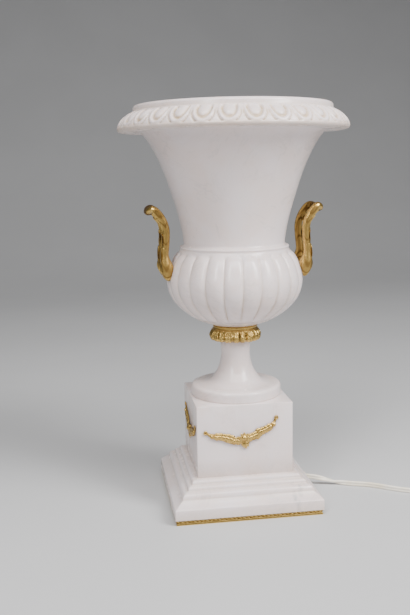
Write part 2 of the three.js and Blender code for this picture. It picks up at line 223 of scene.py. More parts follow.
def hollowness(mesh, gain):
    """How far each point lies below its neighbours, 0 on flats and crests and 1 deep in a hollow"""
    pairs = np.empty(len(mesh.edges) * 2, np.int32)
    mesh.edges.foreach_get("vertices", pairs)
    a, b = pairs.reshape(-1, 2).T
    count = np.bincount(np.concatenate([a, b]), minlength=len(mesh.vertices)).clip(1)[:, None]

    def mean(values):
        total = np.zeros_like(values)
        for k in range(values.shape[1]):
            total[:, k] = np.bincount(a, values[b, k], len(values)) + np.bincount(b, values[a, k], len(values))
        return total / count

    spots = corners_of(mesh)
    wide = spots
    for _ in range(3):
        wide = mean(wide)
    lift = ((wide - spots) * normals_of(mesh)).sum(axis=1, keepdims=True)
    return np.clip(mean(lift)[:, 0] * gain / MM, 0, 1)


def finish_piece(name, bm, material, *nodes, sharp=None):
    """Makes the object of a piece, rides it on the vase and puts it in the place of the solids it stands for"""
    mesh = bpy.data.meshes.new(name)
    bm.to_mesh(mesh)
    bm.free()
    piece = bpy.data.objects.new(name, mesh)
    bpy.context.scene.collection.objects.link(piece)
    mesh.polygons.foreach_set("use_smooth", np.ones(len(mesh.polygons), bool))
    if sharp:
        mesh.set_sharp_from_angle(angle=math.radians(sharp))
    mesh.materials.append(material)
    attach(piece, "root")
    if nodes:
        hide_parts(*nodes)
    return piece


# Materials

def recipe(name):
    """An empty material, its node tree and its shader"""
    material = bpy.data.materials.get(name) or bpy.data.materials.new(name)
    material.use_nodes = True
    tree = material.node_tree
    tree.nodes.clear()
    shader = tree.nodes.new("ShaderNodeBsdfPrincipled")
    output = tree.nodes.new("ShaderNodeOutputMaterial")
    tree.links.new(shader.outputs["BSDF"], output.inputs["Surface"])
    return material, tree, shader


def place_of(tree):
    """Where a point is on the object"""
    return tree.nodes.new("ShaderNodeTexCoord").outputs["Object"]


def noise(tree, spot, scale, detail=4, rough=0.55, warp=0):
    node = tree.nodes.new("ShaderNodeTexNoise")
    node.inputs["Scale"].default_value = scale
    node.inputs["Detail"].default_value = detail
    node.inputs["Roughness"].default_value = rough
    node.inputs["Distortion"].default_value = warp
    tree.links.new(spot, node.inputs["Vector"])
    return node.outputs["Fac"]


def levels(tree, value, low, high, start=0.0, end=1.0):
    """Takes low to high and makes start to end of it"""
    node = tree.nodes.new("ShaderNodeMapRange")
    node.interpolation_type = "SMOOTHSTEP"
    for socket, number in (("From Min", low), ("From Max", high), ("To Min", start), ("To Max", end)):
        node.inputs[socket].default_value = number
    tree.links.new(value, node.inputs["Value"])
    return node.outputs["Result"]


def sums(tree, how, a, b=0):
    node = tree.nodes.new("ShaderNodeMath")
    node.operation = how
    tree.links.new(a, node.inputs[0])
    if isinstance(b, (int, float)):
        node.inputs[1].default_value = b
    else:
        tree.links.new(b, node.inputs[1])
    return node.outputs["Value"]


def blend(tree, amount, first, second):
    node = tree.nodes.new("ShaderNodeMix")
    node.data_type = "RGBA"
    # The colour sockets of a Mix node: it has others of the same names for numbers and vectors
    for socket, value in zip((node.inputs[0], node.inputs[6], node.inputs[7]), (amount, first, second)):
        if hasattr(value, "is_output"):
            tree.links.new(value, socket)
        else:
            socket.default_value = (*value, 1)
    return node.outputs[2]


# The mark read here holds soiling, tarnished gilt and painted shade
def grime_and_shade_of(tree):
    node = tree.nodes.new("ShaderNodeAttribute")
    node.attribute_name = "grime_and_shade"
    return node.outputs["Fac"]


def relief(tree, shader, height, strength, distance):
    node = tree.nodes.new("ShaderNodeBump")
    node.inputs["Strength"].default_value = strength
    node.inputs["Distance"].default_value = distance
    tree.links.new(height, node.inputs["Height"])
    tree.links.new(node.outputs["Normal"], shader.inputs["Normal"])


def spots_near(tree, spot, centres, reach):
    """1 close to any of the centres, 0 beyond reach"""
    total = None
    for centre in centres:
        node = tree.nodes.new("ShaderNodeVectorMath")
        node.operation = "DISTANCE"
        tree.links.new(spot, node.inputs[0])
        node.inputs[1].default_value = centre
        near = levels(tree, node.outputs["Value"], 0, reach, 1, 0)
        total = near if total is None else sums(tree, "MAXIMUM", total, near)
    return total


def alabaster():
    """Warm white stone, cloudy, with faint grey veins, brown where the carving is sunk, in creases and on undersides,
    partly soiled and partly painted shade
    """
    look = bpy.context.scene.finishes
    material, tree, shader = recipe("alabaster")
    spot = place_of(tree)
    cloud = levels(tree, noise(tree, spot, 16, 5, 0.6, 0.4), 0.35, 0.68)
    clean = tuple(look.alabaster)
    warm = (clean[0] * 0.97, clean[1] * 0.925, clean[2] * 0.88)
    stone = blend(tree, cloud, clean, warm)
    vein = sums(tree, "SUBTRACT", noise(tree, spot, 9, 6, 0.65, 1.6), 0.5)
    thin = levels(tree, sums(tree, "ABSOLUTE", vein), 0, 0.022, 0.22, 0)
    veined = blend(tree, sums(tree, "MULTIPLY", thin, cloud), stone, (0.42, 0.39, 0.38))
    narrow, tall = 2.2, 0.8
    upright = tree.nodes.new("ShaderNodeMapping")
    upright.inputs["Scale"].default_value = (narrow, 1.0, tall)
    tree.links.new(spot, upright.inputs["Vector"])
    slab_corner = ((0.0455, -0.071, 0.020), (0.052, -0.0665, 0.024), (0.0485, -0.075, 0.012))
    streaks = spots_near(
        tree, upright.outputs["Vector"], [(x * narrow, y, z * tall) for x, y, z in slab_corner], 0.0085,
    )
    mottle = levels(tree, noise(tree, spot, 150, 4, 0.6), 0.3, 0.65, 0.2, 0.75)
    greyed = blend(tree, sums(tree, "MULTIPLY", streaks, mottle), veined, (0.36, 0.355, 0.36))
    uneven = levels(tree, noise(tree, spot, 120, 5, 0.7), 0.25, 0.75, 0.55, 1)
    # Painted shade: the stone turns brown where the mark is high, which holds soiled places and painted shade in
    # grooves, creases and undersides
    dirt_and_shade = sums(tree, "MULTIPLY", grime_and_shade_of(tree), uneven)
    tree.links.new(blend(tree, dirt_and_shade, greyed, tuple(look.grime_and_shade)), shader.inputs["Base Color"])
    gloss = levels(tree, noise(tree, spot, 60, 4), 0.3, 0.7, 0.19, 0.27)
    tree.links.new(sums(tree, "ADD", gloss, sums(tree, "MULTIPLY", dirt_and_shade, 0.25)), shader.inputs["Roughness"])
    shader.inputs["Subsurface Weight"].default_value = 0.15
    shader.inputs["Subsurface Radius"].default_value = (1.0, 0.7, 0.5)
    shader.inputs["Subsurface Scale"].default_value = 0.004
    relief(tree, shader, noise(tree, spot, 420, 3), 0.04, 0.0004)
    return material


def gilt(name="gilt_bronze", wear=0.6):
    """Rubbed gilding: bright on what stands proud, brown and dull in the hollows, which is partly tarnished gilt and
    partly painted shade, and brown in the other painted-shade places
    """
    look = bpy.context.scene.finishes
    material, tree, shader = recipe(name)
    spot = place_of(tree)
    patch = levels(tree, noise(tree, spot, 180, 5, 0.65), 0.42, 0.72, 0, wear)
    # Painted shade: the mounts' hollows and shaded places turn brown and dull, on top of the real rubbed patches
    worn_and_shaded = sums(tree, "MAXIMUM", grime_and_shade_of(tree), patch)
    tree.links.new(blend(tree, worn_and_shaded, tuple(look.gilding), tuple(look.tarnish_and_shade)), shader.inputs["Base Color"])
    shader.inputs["Metallic"].default_value = 1.0
    tree.links.new(levels(tree, worn_and_shaded, 0, 1, 0.27, 0.6), shader.inputs["Roughness"])
    relief(tree, shader, noise(tree, spot, 400, 4, 0.6, 1), wear * 0.7, 0.0005)
    return material


def lead_plastic():
    look = bpy.context.scene.finishes
    material, tree, shader = recipe("lead_plastic")
    spot = place_of(tree)
    clean = tuple(look.lead)
    aged = (clean[0] * 0.93, clean[1] * 0.88, clean[2] * 0.76)
    tone = levels(tree, noise(tree, spot, 45, 4), 0.35, 0.7)
    tree.links.new(blend(tree, tone, clean, aged), shader.inputs["Base Color"])
    tree.links.new(levels(tree, noise(tree, spot, 90, 3), 0.3, 0.7, 0.34, 0.46), shader.inputs["Roughness"])
    relief(tree, shader, noise(tree, spot, 900, 2), 0.05, 0.0002)
    return material


def pin_metal():
    material, tree, shader = recipe("pin_brass")
    spot = place_of(tree)
    tone = levels(tree, noise(tree, spot, 300, 4), 0.3, 0.7)
    tree.links.new(blend(tree, tone, (0.78, 0.66, 0.40), (0.60, 0.48, 0.27)), shader.inputs["Base Color"])
    shader.inputs["Metallic"].default_value = 1.0
    tree.links.new(levels(tree, tone, 0, 1, 0.22, 0.38), shader.inputs["Roughness"])
    return material


# Camera and lead

PHOTO_HEIGHT = 615
FOCAL_LENGTH = 804.24  # in the photograph's pixels
SENSOR = 36
EYE = (-0.14919, -0.80824, 0.34398)


class SCENE_OT_photo_camera(Operator):
    """Puts the camera where the photograph was taken from"""
    bl_idname = "scene.photo_camera"
    bl_label = "Camera"

    def execute(self, context):
        yaw, pitch, roll = 0.1448, 0.1712, -0.0183
        ahead = Vector((math.sin(yaw) * math.cos(pitch), math.cos(yaw) * math.cos(pitch), -math.sin(pitch)))
        level = Vector((math.cos(yaw), -math.sin(yaw), 0))
        above = level.cross(ahead)
        right = math.cos(roll) * level + math.sin(roll) * above
        up = right.cross(ahead)
        camera = bpy.data.objects.new("camera", bpy.data.cameras.new("camera"))
        camera.data.sensor_width = SENSOR
        camera.data.lens = FOCAL_LENGTH / PHOTO_HEIGHT * SENSOR
        camera.matrix_world = Matrix.Translation(EYE) @ Matrix((right, up, -ahead)).transposed().to_4x4()
        context.scene.collection.objects.link(camera)
        context.scene.camera = camera
        return {"FINISHED"}


COIL = Vector((0.2376, -0.0296, 0))
TURNS = (0.0354, 0.0300, 0.0246)  # the radii of one layer's turns
LAYER = 0.0029  # from one layer up to the next
TAIL_BEND = 0.022
TAIL_CENTRE = COIL + Vector((-0.0026, 0, 0))
TAIL_STEPS = 16


def coil_route(lead):
    """Winds in, out and in again, three turns to a layer, from the run's end to where the tail starts"""
    first = math.radians(-118)
    last = math.tau * 8 + math.radians(172)
    steps = 28
    radii = [*TURNS, *reversed(TURNS), *TURNS, TURNS[-1]]
    route = []
    for i in range(int((last - first) / math.tau * steps) + 1):
        turn = i / steps
        whole = min(int(turn), 8)
        part = turn - whole
        inward = float(smooth(part, 0.45, 1.0))
        radius = radii[whole] * (1 - inward) + radii[whole + 1] * inward
        climb = float(smooth(part, 0.8, 1.0)) if whole % 3 == 2 and whole < 8 else 0
        height = lead.thickness / 2 + 0.0001 + LAYER * (whole // 3 + climb)
        angle = first + turn * math.tau
        route.append(COIL + Vector((radius * math.cos(angle), radius * math.sin(angle), height)))
    return route


class OBJECT_OT_lay_lead(Operator):
    """Lays the flat twin lead along the table, coils its spare length and brings its end into the plug"""
    bl_idname = "object.lay_lead"
    bl_label = "Lead"

    def execute(self, context):
        lead = context.scene.lead_sizes
        edge = 2.75  # the middle of the lead when it stands on its edge
        run = flow([
            (75.5, 5, 9.5), (80, 5, 9.4), (85.5, 3.8, 8.9), (92.9, 1.9, 7.5), (101.7, 0.6, 5), (110, -1.8, 3.3),
            (117.6, -4.7, 2.8), (124.8, -8, edge), (132.9, -11, edge), (140, -13.6, edge), (147.5, -17.7, edge),
            (154.6, -22.6, edge), (161, -27.4, edge), (167.7, -32, edge), (175.1, -36.3, edge), (183.5, -40.8, edge),
            (193.5, -46.1, edge), (203, -51.2, edge), (212.2, -56.1, 2.2), (221, -60.8, 1.45),
        ], 60) * MM
        coil = np.array(coil_route(lead))[1:]
        tail_turn = np.radians(np.linspace(178, 268, TAIL_STEPS))[:, None]
        tail = np.hstack([
            TAIL_CENTRE.x + TAIL_BEND * np.cos(tail_turn), TAIL_CENTRE.y + TAIL_BEND * np.sin(tail_turn),
            0.0085 + 0.006 * smooth(np.linspace(0, 1, TAIL_STEPS), 0, 1)[:, None],
        ])
        line = np.vstack([run, coil, tail])
        x = line[:, 0] / MM
        lie = np.radians(np.where(
            np.arange(len(line)) < len(run),
            90 * smooth(x, 90, 103) + 90 * smooth(x, 103, 118) + 90 * smooth(x, 196, 221), 270,
        ))
        ahead = np.gradient(line, axis=0)
        ahead /= np.linalg.norm(ahead, axis=1, keepdims=True)
        side = np.cross(np.array([0, 0, 1.0]), ahead)
        side /= np.linalg.norm(side, axis=1, keepdims=True)
        over = np.cross(ahead, side)
        wide = np.cos(lie)[:, None] * over + np.sin(lie)[:, None] * side
        thin = -np.sin(lie)[:, None] * over + np.cos(lie)[:, None] * side
        count = len(line) - 1
        core = lead.thickness / 2

        def section(t, turn):
            at = np.rint(t * count).astype(int)
            a = (lead.width / 2) * np.cos(turn)
            rise = np.sqrt(np.clip(core**2 - (np.abs(a) - (lead.width / 2 - core)) ** 2, 0, None))
            b = np.sign(np.sin(turn)) * np.maximum(rise, np.where(np.abs(a) < core, 0.62 * core, 0))
            return line[at] + wide[at] * a[:, None] + thin[at] * b[:, None]

        bm = rolled(count, 24, section)
        piece = finish_piece("twin_lead", bm, lead_plastic(), "cord_run", "cord_coil", "cord_tail")
        return {"FINISHED"}


class OBJECT_OT_finish_plug(Operator):
    """Moulds the plug with its grip ridges, and gives the bush and the pins their plastic and their brass"""
    bl_idname = "object.finish_plug"
    bl_label = "Plug"

    def execute(self, context):
        low, high = (np.array(corner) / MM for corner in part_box("plug_body"))
        middle = (low + high) / 2
        length = high[0] - low[0]
        shares = (0, 0.1, 0.36, 0.8, 1)

        def place(t, turn):
            x = low[0] + length * t
            half = np.interp(t, shares, (3.6, 4.1, 7.2, 11.4, 13.6))
            tall = np.interp(t, shares, (3.5, 3.8, 4.7, 5.2, 5.5))
            ridges = 0.35 * np.cos(t * 36 * math.pi) * smooth(t, 0.3, 0.34) * (1 - smooth(t, 0.66, 0.7))
            edge = bump(t - 0.5, 0.5001) ** 0.12
            y = np.sign(np.cos(turn)) * np.abs(np.cos(turn)) ** 0.55 * (half - 0.35 + ridges) * edge
            z = np.sign(np.sin(turn)) * np.abs(np.sin(turn)) ** 0.6 * (tall - 0.05 + np.minimum(ridges, 0)) * edge
            return np.stack([x, middle[1] + y, middle[2] + z], axis=1) * MM

        finish_piece("plug_moulded", rolled(110, 40, place), lead_plastic(), "plug_body", sharp=50)
        for node, material in (
            ("cord_bush", lead_plastic()), ("plug_pin_near", pin_metal()), ("plug_pin_far", pin_metal()),
        ):
            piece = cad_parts[node]
            for slot in piece.material_slots:
                slot.material = material
        return {"FINISHED"}


# Stone: each outline is a row of (radius, height) in millimetres

BOWL = (
    (41.6, 192.3), (45, 194.2), (48.2, 196.2), (52.9, 199.9), (56.5, 203.1), (59.5, 206.3), (62.1, 209.5),
    (64.4, 212.6), (66.9, 217.6), (68.7, 222.8), (69.8, 229), (69.9, 233), (69.2, 238.2), (67.9, 243),
    (66.1, 248.5), (63.9, 253), (61.6, 256.6), (58.9, 259.5), (57.2, 261.4), (56.1, 262.9),
)
FLARE = (
    (51.3, 269.8), (51.8, 273), (52.7, 280), (54.7, 290), (57.3, 300), (60.1, 310), (63.2, 320), (66.3, 330),
    (69.9, 340), (73.9, 350), (78.6, 360), (84.3, 370), (88, 375), (91.2, 379),
)
OVOLO = (
    (115.3, 383.9), (115.0, 385.6), (114, 387.8), (112.9, 389.8), (111.4, 391.6), (109.6, 393.5), (107.3, 395.4),
    (104.3, 397.4), (100.3, 399.4),
)
HOLLOW = (
    (86.2, 403.5), (85.4, 397), (81.5, 384), (75.4, 370), (67.3, 355), (60.2, 338), (53.7, 318), (48.1, 299),
    (43.8, 280), (42.8, 270), (44.6, 261.6), (53.2, 252), (58, 238), (55.5, 225), (43, 212.6), (24, 202.6),
)


def run_from(points, rows):
    """Distance along a line of [radius, height] points, as a function of height"""
    line = flow(points, rows)
    run = np.concatenate([[0], np.cumsum(np.hypot(*np.diff(line, axis=0).T))])
    order = np.argsort(line[:, 1])
    return lambda z: np.interp(z, line[order, 1], run[order])


def gadroon_depth(sizes):
    """Grooves between lobes that are round in section and arched at the top"""
    along = run_from(BOWL, 200)
    whole = float(along(BOWL[-1][1]))
    first = 3.5 / 360

    def depth(angle, radius, z):
        turn = angle / math.tau * sizes.gadroons + first * sizes.gadroons
        u = 2 * (turn - np.floor(turn)) - 1
        s = along(z)
        top = np.clip((s - whole + 6.8) / 5, 0, None)
        foot = np.clip((3 - s) / 3, 0, None)
        d = np.sqrt(u * u + top**2.2 + foot**2.2)
        lobe = bump(np.clip(d, 0, 1), 1.012)
        inside = (z > 192) & (z < 263.6) & (radius > 41)
        fade = (0.3 + 0.7 * smooth(z, 192, 197)) * (1 - 0.85 * smooth(z, 258, 262.5))
        return np.where(inside, sizes.gadroon_depth * (1 - lobe) * fade, 0)

    return depth


def egg_depth(sizes):
    """Eggs in their shells, with a dart between two shells and a sunk ground round them all"""
    along = run_from(OVOLO, 200)
    top = float(along(OVOLO[-1][1]))
    half_egg, egg_middle = 5.9, 6.6

    def depth(angle, radius, z):
        turn = angle / math.tau * sizes.eggs
        u = (turn - np.rint(turn)) * math.tau / sizes.eggs * radius
        v = top - along(z)
        pitch = math.tau / sizes.eggs * radius
        lower = np.clip((v - egg_middle) / 9.6, 0, None)
        upper = np.clip((egg_middle - v) / 12, 0, None)
        q = np.sqrt((u / half_egg) ** 2 + lower**2 + upper**2)
        away = (q - 1) * half_egg * (1 - 0.12 * smooth(lower, 0, 1))
        egg = bump(np.clip(q, 0, 1), 1)
        shell = bump(away - 2.85, 1.65) * 0.97
        spandrel = 0.66 * smooth(away, 4.6, 5.7)
        dart_half = 1.2 * (1 - smooth(v, 2, 16.5)) + 0.12
        dart = np.clip(1 - (pitch / 2 - np.abs(u)) / dart_half, 0, 1) * 0.95
        raised = np.maximum(np.maximum(egg, shell), np.maximum(spandrel, np.where(v < 15.5, dart, 0)))
        band = smooth(z, 383.9, 384.7) * (1 - smooth(z, 399.0, 399.4))
        carved = (z > 383.7) & (z < 399.5) & (radius > 99.5)
        return np.where(carved, sizes.egg_depth * band * (1 - raised), 0)

    return depth


class OBJECT_OT_carve_vase(Operator):
    """Turns the vase in one, hollow, and carves the gadroons and the egg-and-dart into it"""
    bl_idname = "object.carve_vase"
    bl_label = "Vase"

    def execute(self, context):
        sizes = context.scene.vase_sizes
        underside = flow([(28, 186.9), (33, 188.4), (38, 190.5), (40.8, 191.8)], 5)
        profile = [
            (0, 186), (26.3, 186.05), *underside, (41.2, 192.1), *flow(BOWL, 50),
            (55.7, 263.6), (55.4, 264.1), *flow([(55.4, 264.5), (55.8, 265.4), (55.2, 266.4)], 5),
            (54.1, 266.8), (52.6, 267.3), (51.6, 268.4), *flow(FLARE, 15), (92.2, 379.9),
            (112, 380.1), (114.3, 380.7), (115.1, 382.3), *flow(OVOLO, 33), (99.4, 399.6), (99.1, 400.2), (99, 403),
            *flow([(98.9, 403.6), (98, 404.9), (96.2, 405.7), (93.5, 405.8)], 4), (88.4, 405.7), (86.9, 405.0),
            *flow(HOLLOW, 15), (0, 200.4),
        ]
        piece = finish_piece("vase_carved", spun(profile, VASE_CORNERS), alabaster(), "vase", sharp=70)
        mesh = piece.data
        plain = corners_of(mesh)
        gadroons, eggs = gadroon_depth(sizes), egg_depth(sizes)
        carve(mesh, lambda angle, radius, z: gadroons(angle, radius, z) + eggs(angle, radius, z))
        sunk = np.linalg.norm(corners_of(mesh) - plain, axis=1) / MM
        z = plain[:, 2] / MM
        radius = np.hypot(plain[:, 0], plain[:, 1]) / MM
        # Soiled brown and painted shade in the sunk egg-and-dart and gadroon grooves, heavier low on the bowl; painted
        # shade only in the crease above the eggs, under the rim's lip, on the bowl's underside near the collar and at
        # the bead
        rim = smooth(sunk, 0.7, 2.1) * (z > 380) * 0.95 + bump(z - 399.9, 0.7) * (radius > 98) * 0.3
        rim = rim + bump(z - 382, 3.6) * (radius > 106) * 0.42
        lobes = smooth(sunk, 0.9, 2.7) * (z < 264) * (0.85 - 0.5 * smooth(z, 200, 238))
        ring = (1 - smooth(z, 190.5, 195)) * (radius < 46) * (z < 196) * 0.35
        belt = (bump(z - 263.9, 0.7) * 0.06 + bump(z - 267.3, 0.7) * 0.1) * (radius > 50)
        mark(mesh, rim + lobes + ring + belt)
        return {"FINISHED"}


class OBJECT_OT_turn_foot(Operator):
    """Turns the round foot and its slender stem"""
    bl_idname = "object.turn_foot"
    bl_label = "Foot"

    def execute(self, context):
        disc = flow([(46.8, 111.8), (46.8, 118.6), (46.5, 120.4), (45.4, 121.9), (43.6, 122.5)], 12)
        stem = flow([
            (40, 122.9), (34, 123.5), (28.2, 125.2), (24.4, 128.3), (22, 131.8), (19.6, 135.4), (18.2, 138.6),
            (17, 141.8), (16.2, 145), (15.6, 148.3), (15, 151.8), (14.8, 156), (15, 161), (15.8, 167), (16, 171),
        ], 44)
        profile = [(0, 111.3), (46.5, 111.3), *disc, *stem, (16, 186), (0, 186)]
        piece = finish_piece("foot_turned", spun(profile, 160), alabaster(), "foot", sharp=50)
        spots = corners_of(piece.data) / MM
        z, radius = spots[:, 2], np.hypot(spots[:, 0], spots[:, 1])
        joint = (1 - smooth(z, 111.3, 112.6)) * (radius > 44) * 0.4
        # The dark ring at the disc's foot and the faint ring on its top are soiling; the stem darkening towards the
        # collar above it is painted shade
        mark(piece.data, joint + bump(radius - 38, 5) * (z > 121) * 0.08 + smooth(z, 162, 169) * 0.3)
        return {"FINISHED"}


def square(name, node, profile, grime_and_shade, cuts=1):
    """A moulding carried round the square plan with mitred corners, from [half width, height] pairs"""
    bm = spun([(half * math.sqrt(2), height) for half, height in profile], 4)
    turned(bm, 45, "Z")

    def on_mitre(edge):
        a, b = (vert.co for vert in edge.verts)
        level = all(abs(abs(end.x) - abs(end.y)) < 1e-6 for end in (a, b))
        return level and a.x * b.x > 0 and a.y * b.y > 0 and edge.calc_length() > 1e-5

    arrises = [edge for edge in bm.edges if on_mitre(edge)]
    bmesh.ops.bevel(
        bm, geom=arrises, offset=0.0007, offset_type="OFFSET", affect="EDGES", segments=3, profile=0.5,
        material=-1, clamp_overlap=True,
    )
    closed(bm)
    bmesh.ops.subdivide_edges(
        bm, edges=[edge for edge in bm.edges if edge.calc_length() > 0.03], cuts=cuts, use_grid_fill=True,
    )
    piece = finish_piece(name, bm, alabaster(), node, sharp=38)
    spots = corners_of(piece.data) / MM
    # The mark holds painted shade in the mouldings' creases and the darkening along the die's joint
    mark(piece.data, grime_and_shade(np.maximum(np.abs(spots[:, 0]), np.abs(spots[:, 1])), spots[:, 2]))


class OBJECT_OT_cut_plinth(Operator):
    """Cuts the stepped base slab and the die block"""
    bl_idname = "object.cut_plinth"
    bl_label = "Plinth"

    def execute(self, context):
        steps = [
            *flow([(66.5, 23.4), (66.1, 25.2), (65, 27), (63.2, 28.5), (60.9, 29.1)], 8),
            (60.3, 29.5), *flow([(60.2, 29.9), (59.7, 31.6), (58.4, 32.9), (56.2, 33.5)], 7),
            (55.6, 33.9), *flow([(55.5, 34.3), (55, 36), (53.7, 37.2), (51.6, 37.75)], 7),
        ]
        fascia = [(75, 5.5), (75, 14.8), *flow([(74.9, 15.5), (74.5, 16.1), (73.9, 16.5)], 3)]
        splay = [(70.6, 19.6), (66.9, 22.6)]
        square(
            "slab_cut", "base_slab", [(0, 0), (70.2, 0), (70.2, 5.5), *fascia, *splay, *steps, (0, 37.8)],
            # Painted shade in the creases under the steps and on the fascia above and behind the rope band; darker
            # along the die's joint on the slab's top
            lambda half, z: (bump(z - 22.9, 0.9) + bump(z - 29.3, 0.7) + bump(z - 33.7, 0.7)) * 0.24
            + (1 - smooth(z, 5.5, 6.6)) * 0.4 + smooth(z, 37.3, 37.8) * (half < 53) * 0.25,
        )
        square(
            "die_cut", "die_block",
            [(0, 37.8), (48.7, 37.8), (48.88, 38.1), (48.88, 110.5), (48.7, 111.1), (48.2, 111.3), (0, 111.3)],
            # Darker along the die's joint with the slab
            lambda half, z: (1 - smooth(z, 37.9, 38.6)) * 0.3, cuts=3,
        )
        return {"FINISHED"}


# Gilt mounts

def gild(piece, gain, shaded=0):
    """Marks the hollows, and what is shaded besides, for the gilding to be dark and dull there: tarnished gilt with
    painted shade in the hollows, painted shade in the shaded places
    """
    mark(piece.data, hollowness(piece.data, gain) + shaded)


class OBJECT_OT_twist_band(Operator):
    """Twists the rope that runs round the slab's foot, over its plain fillet"""
    bl_idname = "object.twist_band"
    bl_label = "Rope Band"

    def execute(self, context):
        strands = context.scene.mount_sizes.strands
        per_side = strands * 7
        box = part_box("rope_band")
        half = box[1][0] / MM - 0.25
        section = [
            (-3.2, 0), (0, 0), (0.02, 1.9), (-0.5, 2.25), (-0.62, 2.5), (-0.3, 2.75), (0.08, 3.2), (0.22, 3.75),
            (0.12, 4.35), (-0.25, 4.8), (-0.8, 5.1), (-1.6, 5.2), (-3.2, 5.2),
        ]
        rope = np.array([0, 0, 0, 0, 0.2, 0.7, 1, 1, 1, 0.9, 0.5, 0, 0, 0])

        def strand(part, z):
            return np.abs(np.sin(math.pi * (strands / 2 * part + 0.32 * z))) ** 0.75

        def place(t, turn):
            step = np.rint(t * per_side * 4)
            side = (step // per_side).astype(int) % 4
            part = (step % per_side) / per_side * 2 - 1
            k = np.rint(turn / math.tau * len(section)).astype(int)
            spots = np.array([*section, section[0]])[k]
            high = spots[:, 1]
            out = half + spots[:, 0] - 1.05 * rope[k] * (1 - strand(part, high))
            x, y = part * out, -out
            turns = np.array([(1, 0), (0, 1), (-1, 0), (0, -1)])[side]
            return np.stack([
                x * turns[:, 0] - y * turns[:, 1], x * turns[:, 1] + y * turns[:, 0], high,
            ], axis=1) * MM

        bm = rolled(per_side * 4, len(section), place)
        piece = finish_piece("rope_band_twisted", bm, gilt("gilt_rope", 0.12), "rope_band", sharp=60)
        x, y, z = corners_of(piece.data).T / MM
        facing = np.abs(y) >= np.abs(x)
        part = np.where(facing, -np.sign(y) * x, np.sign(x) * y) / np.maximum(np.abs(x), np.abs(y))
        # Painted shade between the rope's strands and in the groove along its lower edge
        between = smooth(1 - strand(part, z), 0.12, 0.75) * (z > 2.6) * (z < 5.1)
        mark(piece.data, between * 0.95 + bump(z - 2.4, 0.45) * 0.9)
        return {"FINISHED"}


class OBJECT_OT_chase_collar(Operator):
    """Chases the petals of the collar round the top of the stem"""
    bl_idname = "object.chase_collar"
    bl_label = "Collar"

    def execute(self, context):
        petals = context.scene.mount_sizes.petals
        outer = flow([
            (21.2, 167.9), (24.4, 168.1), (26.4, 169), (27.2, 170.8), (27.25, 172.6), (26.9, 174.6), (26, 176.8),
            (25, 178.6), (23.9, 180.2), (22.9, 181.4), (22.6, 182.3), (23.1, 183.2), (22.8, 184.3), (21.2, 185.5),
        ], 54)
        profile = [(16.3, 167.8), *outer, (20.4, 185.7), (16.3, 185.7)]
        bm = spun(profile, petals * 18, loop=True)
        piece = finish_piece("collar_chased", bm, gilt(), "collar", sharp=60)

        def depth(angle, radius, z):
            turn = angle / math.tau * petals + 0.12 * np.sin(angle * 7)
            u = np.abs(2 * (turn - np.floor(turn)) - 1)
            between = np.abs(2 * (turn + 0.5 - np.floor(turn + 0.5)) - 1)
            low = 1 - smooth(z, 178.4, 180.6)
            tip = 1 - smooth(z, 168, 171.5)
            parting = bump(u - 1, 0.24) * (1.5 + 0.5 * np.sin(angle * 4)) * low
            rib = bump(u, 0.14) * 0.7 * (1 - smooth(z, 172.5, 176))
            flutes = 0.65 * (0.5 + 0.5 * np.cos(angle * petals * 4)) * smooth(z, 173, 176) * low
            overlap = 0.8 * smooth(176.4 + 1.2 * np.sin(angle * 5) - 5 * between**2 - z, -0.2, 0.5)
            scallop = 1.8 * tip * smooth(u, 0.35, 1)
            return np.where((z < 181.5) & (radius > 17) & (z > 167.8), parting + rib + flutes + overlap + scallop, 0)

        carve(piece.data, depth)
        # Painted shade under the collar's top roll
        under_roll = bump(corners_of(piece.data)[:, 2] / MM - 181.6, 1.6)
        gild(piece, 2.8, under_roll * 0.2)
        return {"FINISHED"}


HANDLE_LINE = (
    (69.6, 233.8), (71.4, 239.6), (72.4, 246), (73, 253), (72.8, 262), (71.4, 276), (71.5, 286), (74.4, 294.6),
    (79.2, 301.6), (83, 304.6), (86, 304), (87.2, 302), (87.3, 299.6),
)
SPREAD = 15.0  # half the distance between a handle's two arms


def handle_axis():
    """The side view of an arm: its points, its direction at each, and the distance along it"""
    line = flow(HANDLE_LINE, 240)
    way = np.gradient(line, axis=0)
    way /= np.linalg.norm(way, axis=1, keepdims=True)
    run = np.concatenate([[0], np.cumsum(np.hypot(*np.diff(line, axis=0).T))])
    return line, way, run


def on_handle(axis, along, side, out):
    """A point on the bent loop: along it in millimetres, side round the bowl and out from it"""
    line, way, run = axis
    beyond = along - np.clip(along, 0, run[-1])
    x = np.interp(along, run, line[:, 0])
    z = np.interp(along, run, line[:, 1])
    wx = np.interp(along, run, way[:, 0])
    wz = np.interp(along, run, way[:, 1])
    return np.stack([x + wz * out + wx * beyond, side, z - wx * out + wz * beyond], axis=1) * MM


def off_bowl(spots):
    """Moves points that lie in the bowl out to its surface"""
    x, y, z = spots.T / MM
    radius = np.interp(z, [height for _, height in BOWL], [r for r, _ in BOWL]) + 0.1
    seat = np.sqrt(np.clip(radius**2 - y**2, 0, None))
    return np.stack([np.where((z < 262.5) & (x < seat), seat, x), y, z], axis=1) * MM


